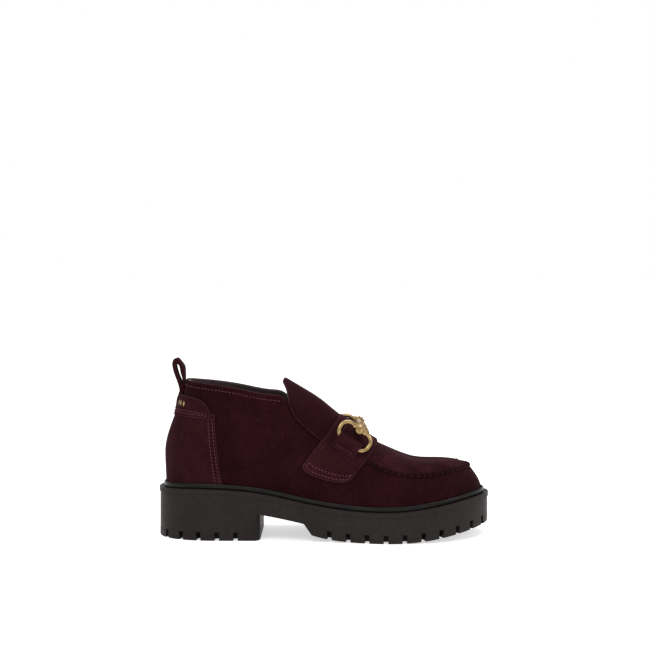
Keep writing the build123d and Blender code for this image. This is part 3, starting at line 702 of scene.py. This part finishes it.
def seam_ridge():
    """The pinched, gathered ridge that joins the plug to the wall, with its stitches; its suede is darker, a painted
    shade for the shadowed groove under the plug's edge.
    """
    front_u = fine_u[(seam_share(fine_u) > 0.02)]
    u = np.linspace(front_u[0], front_u[-1], 900)
    edge = rib_top(u)
    wall_n = normals(wall, u, np.full(len(u), 0.985))
    ahead = np.gradient(edge, axis=0)
    ahead /= np.linalg.norm(ahead, axis=-1, keepdims=True)
    up = np.array([0, 0, 1.0]) * 0.8 + wall_n * 0.55
    up -= ahead * np.sum(up * ahead, axis=-1, keepdims=True)
    up /= np.linalg.norm(up, axis=-1, keepdims=True)
    out = np.cross(up, ahead)
    out *= np.sign(np.sum(out * wall_n, axis=-1, keepdims=True))
    run = np.concatenate([[0], np.cumsum(np.linalg.norm(np.diff(edge, axis=0), axis=1))])
    phase = 2 * np.pi * run / PUCKER_PITCH
    gather = np.cos(phase)
    fade = np.minimum(eased(run, 0, 8), eased(run[-1] - run, 0, 8))
    profile = [(1.75, -1.3), (1.75, -0.2), (1.6, 0.9), (1.15, 1.75), (0.45, 2.05), (0.06, 1.55), (-0.06, 1.55),
               (-0.5, 2.15), (-1.25, 1.9), (-1.75, 1.0), (-2.0, 0.0), (-2.1, -1.3)]
    vertices, faces = [], []
    for k in range(len(u)):
        for s, h in profile:
            swell = 1 + (0.20 if s < 0 else 0.12) * gather[k]
            lift = h * (0.35 + 0.65 * fade[k]) * (1 + 0.10 * gather[k]) if h > 0 else h
            vertices.append(edge[k] + out[k] * (s * swell) + up[k] * (lift - 0.1))
    m = len(profile)
    for k in range(len(u) - 1):
        for j in range(m):
            q = (j + 1) % m
            faces.append((k * m + j, k * m + q, (k + 1) * m + q, (k + 1) * m + j))
    faces.append(tuple(range(m)))
    faces.append(tuple((len(u) - 1) * m + j for j in reversed(range(m))))
    ridge_object = make_object("seam_ridge", vertices, faces, SEAM_SHADE_MAT)
    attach(ridge_object, "shoe")
    threads, thread_faces = [], []
    count = int(run[-1] / PUCKER_PITCH)
    for i in range(count):
        k = int(np.searchsorted(run, (i + 0.5) * PUCKER_PITCH))
        if fade[k] < 0.6:
            continue
        for s, h, share in ((1.72, 0.55, 0.9), (-0.02, 2.0, 0.0), (-1.9, 0.9, 0.9)):
            c = edge[k] + out[k] * s + up[k] * h
            normal = out[k] * share * np.sign(s) + up[k] * (1 - 0.7 * share)
            direction = ahead[k] if share else out[k] * 0.9 + ahead[k] * 0.45
            direction = direction / np.linalg.norm(direction)
            capsule(threads, thread_faces, c, direction, normal / np.linalg.norm(normal), 3.0 if share else 2.6, 0.3)
    thread_object = make_object("seam_thread", threads, thread_faces, SEAM_THREAD_MAT)
    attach(thread_object, "shoe")


seam_ridge()

# ---------------------------------------------------------------- patch, tab, straps and tongue


def patch(a, b):
    """The heel patch: a runs round the heel, b from the sole to the edge hidden under the tab."""
    front = np.where(a < 0.5, PATCH_MEDIAL, PATCH_LATERAL)
    forward = 0.011 * np.clip(1 - b, 0, 1) ** 1.5 * np.abs(2 * a - 1)
    u = 1 + (2 * a - 1) * np.abs(front) + np.where(a < 0.5, -forward, forward)
    return wall(u, FOOT + 0.69 * b)


def tab(a, b):
    """The heel tab: its top edge falls to a rounded corner on each side."""
    side = np.abs(2 * a - 1)
    reach = np.where(a < 0.5, 1 - stations[27], stations[3]) + 0.012
    u = 1 + (2 * a - 1) * reach
    low = 0.655 + 0.012 * side
    high = 0.85 - 0.02 * side**2 - 0.11 * side**16
    return wall(u, low + (high - low) * b)


def over_legs(base):
    """The tab stands off over the ends of the pull loop."""
    return lambda a, b: base + 2.3 * np.exp(-((a - 0.5) / 0.09) ** 4) * eased(b, 0.05, 0.75)


def tongue(a, b):
    """The tongue: a runs from the strap (0) to the free tip (1), b from -1 lateral to 1."""
    swell = 4.2 * np.clip(a, 0, 1.01) ** 3 * np.exp(-(((np.abs(b) - 0.42) / 0.3) ** 2))
    x0 = 12.3 - 44.0 * a - swell
    skew = SKEW * np.clip(1 - a, 0, 1) ** 0.8
    reach = 44.0 - 6.0 * a - 11.0 * np.abs(a) ** 9
    return band(x0, reach * b, skew)


def saddle(a, b):
    """The wide strap: a across it from its rear edge, b from -1 lateral to 1; its ends are rounded."""
    x0 = 13.0 + 32.0 * a
    reach = 77.5 - 13.0 * np.abs(a) ** 1.9 - 4.0 * np.abs(1 - a) ** 12 - 4.0 * np.abs(a) ** 14
    return band(x0, reach * b, SKEW)


def strap_outer(a, b):
    return STRAP_OUTER_REAR + (STRAP_OUTER_FRONT - STRAP_OUTER_REAR) * a


def keeper(a, b):
    """The narrow strap over the rings."""
    return band(20.0 + 16.5 * a, KEEPER_REACH * b, SKEW)


def keeper_inner(a, b):
    base = STRAP_OUTER_REAR + (STRAP_OUTER_FRONT - STRAP_OUTER_REAR) * (7.0 + 16.5 * a) / 32.0 + 0.15
    g = np.abs(KEEPER_REACH * b)
    return base + (2 * WIRE_RADIUS + 2.3) * eased(g, 28.0, 32.0) * (1 - eased(g, 37.5, 41.5))


def keeper_outer(a, b):
    return keeper_inner(a, b) + KEEPER_THICKNESS


PATCH_LATERAL = stations[3] + 0.0178
PATCH_MEDIAL = 1 - stations[27] + 0.0178

patch_rows = np.concatenate([np.linspace(0, 0.1, 8), np.linspace(0.1, 0.9, 70)[1:-1], np.linspace(0.9, 1, 8)])
patch_object = panel("suede_heel_patch", patch, patch_rows, np.linspace(0, 1, 40), 0.15, 1.35, TRIM_MAT,
                     relief=soft_relief(0.1, 13, 8))
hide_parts("counter_patch")
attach(patch_object, "shoe")
tab_object = panel("suede_heel_tab", tab, np.linspace(0, 1, 121), np.linspace(0, 1, 22), over_legs(1.5),
                   over_legs(2.65), TRIM_MAT)
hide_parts("heel_tab")
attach(tab_object, "shoe")
saddle_rows = np.concatenate([np.linspace(0, 0.12, 12), np.linspace(0.12, 0.88, 30)[1:-1], np.linspace(0.88, 1, 12)])
saddle_object = panel("suede_saddle_strap", saddle, saddle_rows, np.linspace(-1, 1, 151), 0.2, strap_outer, TRIM_MAT,
                      round_by=0.9,
                      relief=lambda a, b, p: 0.25 * np.sin(np.pi * a) ** 0.5 - 0.25)
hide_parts("saddle_strap")
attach(saddle_object, "shoe")
keeper_object = panel("suede_keeper_strap", keeper, np.linspace(0, 1, 24), np.linspace(-1, 1, 161), keeper_inner,
                      keeper_outer, TRIM_MAT)
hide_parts("keeper_strap")
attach(keeper_object, "shoe")

tongue_rows = np.concatenate([np.linspace(-0.09, 0.8, 50), np.linspace(0.8, 1, 20)[1:]])
tongue_object = panel("suede_tongue", tongue, tongue_rows, np.linspace(-1, 1, 101),
                      lambda a, b: 0.97 - 0.75 * (a < 0.0), lambda a, b: 2.3 - 0.6 * (1 - eased(a, -0.05, 0.03)),
                      SUEDE_MAT, relief=soft_relief(0.16, 10, 12))
back_object = panel("tongue_lining", tongue, tongue_rows[tongue_rows >= 0], np.linspace(-0.985, 0.985, 81), 0.2, 0.85,
                    LINING_MAT, round_by=0.3, rim_mat=LINING_MAT)
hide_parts("tongue")
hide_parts("tongue_backing")
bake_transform(tongue_object)
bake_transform(back_object)

# ---------------------------------------------------------------- stitching


def row_at(shape, height, a_of, b_of, count=160):
    t = np.linspace(0, 1, count)
    return path_on(shape, list(zip(a_of(t), b_of(t))), height)


runs = []
for side in (-1, 1):
    u_low, u_high = (0.004, stations[5] + 0.012) if side < 0 else (stations[25] - 0.012, 0.996)
    t = np.linspace(u_low, u_high, 200)
    v = 1 - 5.6 / (rib_shape(t)[..., 1] - 40)
    runs.append((wall(t, v) + normals(wall, t, v) * 0.16, normals(wall, t, v)))
collar_stitches = stitches("stitches_collar", runs, pitch=3.0)
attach(collar_stitches, "shoe")

runs = []
for end in (0, 1):
    for inset in (0.012, 0.037):
        a_edge = inset if end == 0 else 1 - inset
        runs.append(row_at(patch, 1.5, lambda t, q=a_edge: q + 0 * t, lambda t: 0.02 + 0.93 * t))
patch_stitches = stitches("stitches_heel_patch", runs, pitch=2.9)
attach(patch_stitches, "shoe")

runs = []
for b_at in (0.15, 0.27):
    a_t = np.linspace(0.02, 0.98, 240)
    b_t = np.full(240, b_at)
    lift = over_legs(2.65)(a_t, b_t) + 0.14
    runs.append(path_on(tab, list(zip(a_t, b_t)), lift))
tab_stitches = stitches("stitches_heel_tab", runs, pitch=2.6)
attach(tab_stitches, "shoe")

runs = []
for side in (-1, 1):
    end = 1 - 2.7 / 78.0
    corner = np.linspace(0, 1, 120)
    a_t = 0.05 + 0.90 * corner
    runs.append(path_on(saddle, [(q, side * end) for q in a_t], strap_outer(a_t, 0) + 0.1))
    runs.append(path_on(saddle, [(q, side * (end - 5.0 / 78.0)) for q in a_t], strap_outer(a_t, 0) + 0.14))
    for a_edge in (0.05, 0.95):
        b_t = side * (end - 5.0 / 78.0 * np.linspace(0, 1, 20))
        runs.append(path_on(saddle, [(a_edge, q) for q in b_t], float(strap_outer(a_edge, 0)) + 0.12))
saddle_stitches = stitches("stitches_saddle", runs, pitch=3.0)
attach(saddle_stitches, "shoe")

runs = []
for side in (-1, 1):
    end = 1 - 2.0 / KEEPER_REACH
    a_t = np.linspace(0.1, 0.9, 60)
    b_t = np.full(60, side * end)
    runs.append(path_on(keeper, list(zip(a_t, b_t)), keeper_outer(a_t, b_t) + 0.14))
keeper_stitches = stitches("stitches_keeper", runs, pitch=2.8)
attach(keeper_stitches, "shoe")

# ---------------------------------------------------------------- foil ornament on the tab
lozenges, lozenge_faces = [], []
for middle in (0.22, 0.27, 0.32, 0.68, 0.73, 0.78):
    for da, db in ((-0.014, 0), (0, -0.15), (0.014, 0), (0, 0.15)):
        a_at, b_at = np.array([middle + da]), np.array([0.6 + db])
        point = tab(a_at, b_at) + normals(tab, a_at, b_at) * (over_legs(2.65)(a_at, b_at)[:, None] + 0.08)
        lozenges.append(point[0])
    k = len(lozenges) - 4
    lozenge_faces.append((k, k + 1, k + 2, k + 3))
foil = make_object("foil_lozenges", lozenges, lozenge_faces, FOIL_MAT, smooth=False)
solidify = foil.modifiers.new("thickness", "SOLIDIFY")
solidify.thickness = 0.00012
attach(foil, "shoe")

# ---------------------------------------------------------------- the welt


def welt_ring():
    """The glossy strip round the foot of the upper, with a rounded top edge."""
    u = np.linspace(0, 1, 361)[:-1]
    edge = sole_edge(u)
    nrm = inward(u)
    profile = [(5.2, 0.05), (3.95, 0.05), (3.8, 0.5), (3.75, 2.6), (3.85, 3.5), (4.1, 4.05), (4.5, 4.25), (4.9, 4.15),
               (5.15, 3.8), (5.2, 3.2)]
    vertices, faces = [], []
    for k in range(len(u)):
        low = float(sole_top(edge[k, 0] + nrm[k, 0] * 4.5))
        for inset, h in profile:
            q = edge[k] + nrm[k] * inset
            vertices.append((q[0], q[1], low + h))
    m = len(profile)
    for k in range(len(u)):
        for j in range(m):
            q, w = (j + 1) % m, (k + 1) % len(u)
            faces.append((k * m + j, w * m + j, w * m + q, k * m + q))
    obj = make_object("welt_strip", vertices, faces, WELT_MAT)
    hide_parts("welt_rand")
    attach(obj, "shoe")


welt_ring()

# ---------------------------------------------------------------- finishes of the CAD pieces
finishes = {
    "outsole": RUBBER_MAT, "shank": BRASS_MAT, "bottom_filler": FOAM_MAT, "insole_board": BOARD_MAT, "sock": SOCK_MAT,
    "vamp_lining": LINING_MAT, "quarter_lining": LINING_MAT, "plug_lining": LINING_MAT, "toe_puff": BOARD_MAT,
    "heel_stiffener": BOARD_MAT, "collar_padding": LINING_MAT, "loop_anchor": TRIM_MAT, "pull_loop": TRIM_MAT,
    "gore_lateral": ELASTIC_MAT, "gore_medial": ELASTIC_MAT, "ring_lateral": BRASS_MAT, "ring_medial": BRASS_MAT,
    "bit_bar": BRASS_MAT,
}
for node, mat in finishes.items():
    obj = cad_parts[node]
    obj.data.materials.clear()
    obj.data.materials.append(mat)
for node, width in (("pull_loop", 0.0004), ("outsole", 0.0004)):
    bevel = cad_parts[node].modifiers.new("edges", "BEVEL")
    bevel.width = width
    bevel.segments = 2
    bevel.limit_method = "ANGLE"
    bevel.angle_limit = math.radians(50)

# ---------------------------------------------------------------- studio
scene = bpy.context.scene
scene.view_settings.view_transform = "Standard"
floor_mesh = bpy.data.meshes.new("floor")
floor_mesh.from_pydata([(-60, -60, 0), (60, -60, 0), (60, 60, 0), (-60, 60, 0)], [], [(0, 1, 2, 3)])
floor = bpy.data.objects.new("floor", floor_mesh)
scene.collection.objects.link(floor)
floor_mat, _, floor_shader = material("floor", Roughness=0.6)
floor_shader.inputs["Base Color"].default_value = (0.62, 0.62, 0.62, 1)
floor_shader.inputs["Emission Color"].default_value = (1, 1, 1, 1)
floor_shader.inputs["Emission Strength"].default_value = 0.55
floor.data.materials.append(floor_mat)

world = bpy.data.worlds.new("studio")
world.use_nodes = True
world.node_tree.nodes["Background"].inputs["Color"].default_value = (1, 1, 1, 1)
world.node_tree.nodes["Background"].inputs["Strength"].default_value = 1.0
scene.world = world


def area_light(name, position, target, size, power):
    data = bpy.data.lights.new(name, "AREA")
    data.shape = "RECTANGLE"
    data.size, data.size_y = size
    data.energy = power
    light = bpy.data.objects.new(name, data)
    light.location = position
    light.rotation_euler = (Vector(target) - Vector(position)).to_track_quat("-Z", "Y").to_euler()
    scene.collection.objects.link(light)


area_light("key", (-0.5, -0.9, 1.3), (0, 0, 0.05), (0.9, 0.6), 9)
area_light("top", (0.25, 0.15, 1.5), (0, 0, 0.05), (1.2, 0.8), 10)
area_light("front", (1.3, -0.7, 0.7), (0, 0, 0.06), (0.6, 0.6), 5)

camera_data = bpy.data.cameras.new("camera")
camera_data.sensor_width = 36
camera_data.lens = 60.31
camera_data.shift_y = -0.0451
camera = bpy.data.objects.new("camera", camera_data)
camera.location = (0.0007, -0.950, 0.206)
camera.rotation_euler = (math.radians(90), 0, 0)
scene.collection.objects.link(camera)
scene.camera = camera
